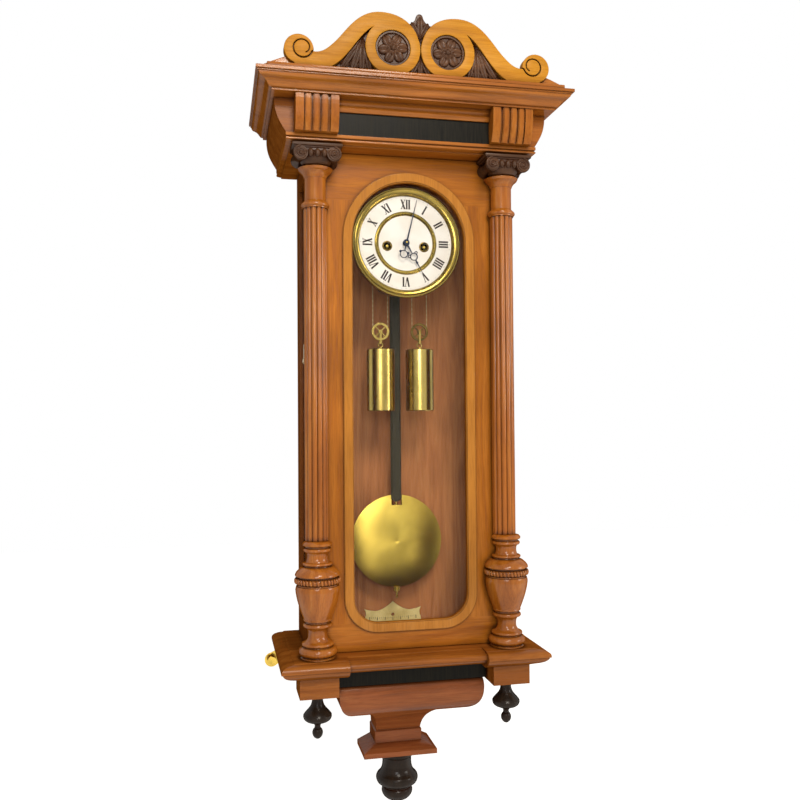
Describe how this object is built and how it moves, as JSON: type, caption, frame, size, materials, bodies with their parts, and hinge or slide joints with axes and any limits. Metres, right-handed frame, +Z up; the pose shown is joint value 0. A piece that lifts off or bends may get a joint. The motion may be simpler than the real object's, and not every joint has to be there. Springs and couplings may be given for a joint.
{
  "type": "regulator clock",
  "caption": "Wall-hung two-weight regulator clock in a carved honey-brown case with columned glazed door, white dial and brass pendulum.",
  "frame": {"origin": "Centre of the hole in the hanging plate that the clock hangs by, on the wall plane at the back.", "axes": "+X to the viewer's right, +Y into the wall, +Z up."},
  "size_m": [0.496, 0.259, 1.277],
  "materials": {
    "honey_wood": "satin varnish",
    "pale_wood": "satin varnish",
    "brown_wood": "satin varnish",
    "dark_carving": "dark polish",
    "ebonised": "satin black",
    "brass": "polished",
    "pale_brass": "silvered",
    "steel": "polished",
    "blued_steel": "blued",
    "iron": "black",
    "enamel": "gloss",
    "glass": "clear",
    "gut": "matt"
  },
  "bodies": {
    "case": {"back_board": "brown_wood", "side_frames": "honey_wood", "side_glasses": "glass", "head_board": "honey_wood", "frieze_box": "honey_wood", "frieze_panel": "ebonised", "frieze_consoles": "honey_wood", "cornice": "honey_wood", "crest_scrolls": "pale_wood", "crest_carving": "dark_carving", "crest_rosettes": "dark_carving", "base_shelf": "honey_wood", "corner_blocks": "honey_wood", "base_band": "ebonised", "apron": "honey_wood", "drop_finials": "dark_carving", "hanger_plate": "brass", "case_fittings": "brass", "movement_bracket": "iron", "beat_plate": "pale_brass", "front_plate": "brass", "back_plate": "brass", "dial_plate": "brass", "dial_enamels": "enamel", "dial_rings": "brass", "gong_coil": "steel", "gong_block": "iron", "going_line": "gut", "strike_line": "gut"},
    "door": {"door_frame": "honey_wood", "opening_bead": "pale_wood", "door_glass": "glass", "column_shafts": "honey_wood", "column_capitals": "dark_carving", "column_urns": "honey_wood", "door_hinges": "brass"},
    "latch": {"latch_hook": "brass"},
    "centre_arbor": {"centre_wheel": "brass", "minute_hand": "blued_steel"},
    "third_arbor": {"third_wheel": "brass"},
    "escape_arbor": {"escape_wheel": "brass"},
    "anchor_arbor": {"anchor": "steel"},
    "minute_work": {"minute_wheel": "brass"},
    "hour_pipe": {"hour_wheel": "brass", "hour_hand": "blued_steel"},
    "going_drum": {"going_barrel": "brass"},
    "strike_drum": {"strike_barrel": "brass"},
    "going_great": {"going_great_wheel": "brass"},
    "strike_great": {"strike_great_wheel": "brass"},
    "pin_arbor": {"pin_wheel": "brass"},
    "fly_arbor": {"strike_fly": "brass"},
    "hammer_arbor": {"strike_hammer": "steel"},
    "pendulum": {"suspension_spring": "steel", "pendulum_rod": "ebonised", "pendulum_bob": "brass", "rating_nut": "brass"},
    "going_load": {"going_weight": "brass"},
    "strike_load": {"strike_weight": "brass"},
    "going_wheel": {"going_pulley": "brass"},
    "strike_wheel": {"strike_pulley": "brass"}
  },
  "joints": [
    {"name": "door_hinge", "type": "hinge", "parent": "case", "child": "door", "pos_m": [0.1682, -0.14525, -0.188], "axis": [0, 0, 1], "range_deg": [0, 110]},
    {"name": "latch_turn", "type": "hinge", "parent": "case", "child": "latch", "pos_m": [-0.1668, -0.133, -0.383], "axis": [1, 0, 0], "range_deg": [0, 90]},
    {"name": "minute_turn", "type": "hinge", "parent": "case", "child": "centre_arbor", "pos_m": [0, -0.09, -0.188], "axis": [0, 1, 0], "continuous": true},
    {"name": "hour_turn", "type": "hinge", "parent": "case", "child": "hour_pipe", "pos_m": [0, -0.125, -0.188], "axis": [0, 1, 0], "continuous": true},
    {"name": "minute_work_turn", "type": "hinge", "parent": "case", "child": "minute_work", "pos_m": [-0.0099, -0.116, -0.1979], "axis": [0, 1, 0], "continuous": true},
    {"name": "third_turn", "type": "hinge", "parent": "case", "child": "third_arbor", "pos_m": [0.012, -0.09, -0.16956], "axis": [0, 1, 0], "continuous": true},
    {"name": "escape_turn", "type": "hinge", "parent": "case", "child": "escape_arbor", "pos_m": [0, -0.09, -0.15868], "axis": [0, 1, 0], "continuous": true},
    {"name": "pendulum_swing", "type": "hinge", "parent": "case", "child": "pendulum", "pos_m": [0, -0.048, -0.1403], "axis": [0, 1, 0], "range_deg": [-2.5, 2.5]},
    {"name": "anchor_rock", "type": "hinge", "parent": "case", "child": "anchor_arbor", "pos_m": [0, -0.09, -0.1403], "axis": [0, 1, 0], "range_deg": [-2.5, 2.5]},
    {"name": "going_great_turn", "type": "hinge", "parent": "case", "child": "going_great", "pos_m": [0.031, -0.09, -0.1935], "axis": [0, 1, 0], "continuous": true},
    {"name": "strike_great_turn", "type": "hinge", "parent": "case", "child": "strike_great", "pos_m": [-0.031, -0.09, -0.1935], "axis": [0, 1, 0], "continuous": true},
    {"name": "pin_wheel_turn", "type": "hinge", "parent": "case", "child": "pin_arbor", "pos_m": [-0.04, -0.09, -0.1633], "axis": [0, 1, 0], "continuous": true},
    {"name": "fly_turn", "type": "hinge", "parent": "case", "child": "fly_arbor", "pos_m": [-0.027, -0.09, -0.15397], "axis": [0, 1, 0], "continuous": true},
    {"name": "hammer_lift", "type": "hinge", "parent": "case", "child": "hammer_arbor", "pos_m": [-0.058, -0.06, -0.174], "axis": [0, 1, 0], "range_deg": [0, 15], "stiffness_Nm_per_rad": 0.05},
    {"name": "going_weight_drop", "type": "slide", "parent": "case", "child": "going_load", "axis": [0, 0, 1], "range_m": [-0.34, 0.07], "deforming": ["going_line"]},
    {"name": "strike_weight_drop", "type": "slide", "parent": "case", "child": "strike_load", "axis": [0, 0, 1], "range_m": [-0.34, 0.07], "deforming": ["strike_line"]},
    {"name": "going_barrel_turn", "type": "hinge", "parent": "case", "child": "going_drum", "pos_m": [0.031, -0.09, -0.1935], "axis": [0, 1, 0], "continuous": true},
    {"name": "strike_barrel_turn", "type": "hinge", "parent": "case", "child": "strike_drum", "pos_m": [-0.031, -0.09, -0.1935], "axis": [0, 1, 0], "continuous": true},
    {"name": "going_pulley_turn", "type": "hinge", "parent": "going_load", "child": "going_wheel", "pos_m": [0.0338, -0.0895, -0.329], "axis": [0, 1, 0], "continuous": true},
    {"name": "strike_pulley_turn", "type": "hinge", "parent": "strike_load", "child": "strike_wheel", "pos_m": [-0.0338, -0.0895, -0.329], "axis": [0, 1, 0], "continuous": true}
  ],
  "couplings": [
    {"joint": "hour_turn", "follows": "minute_turn", "ratio": 0.083333},
    {"joint": "minute_work_turn", "follows": "minute_turn", "ratio": -0.33333},
    {"joint": "third_turn", "follows": "minute_turn", "ratio": -10},
    {"joint": "escape_turn", "follows": "minute_turn", "ratio": 80},
    {"joint": "anchor_rock", "follows": "pendulum_swing", "ratio": 1},
    {"joint": "going_great_turn", "follows": "minute_turn", "ratio": -0.083333},
    {"joint": "pin_wheel_turn", "follows": "strike_great_turn", "ratio": -12},
    {"joint": "fly_turn", "follows": "strike_great_turn", "ratio": 108},
    {"joint": "going_barrel_turn", "follows": "going_weight_drop", "rad_per_m": -128.2},
    {"joint": "strike_barrel_turn", "follows": "strike_weight_drop", "rad_per_m": 128.2},
    {"joint": "going_pulley_turn", "follows": "going_weight_drop", "rad_per_m": -78.1},
    {"joint": "strike_pulley_turn", "follows": "strike_weight_drop", "rad_per_m": 78.1}
  ]
}
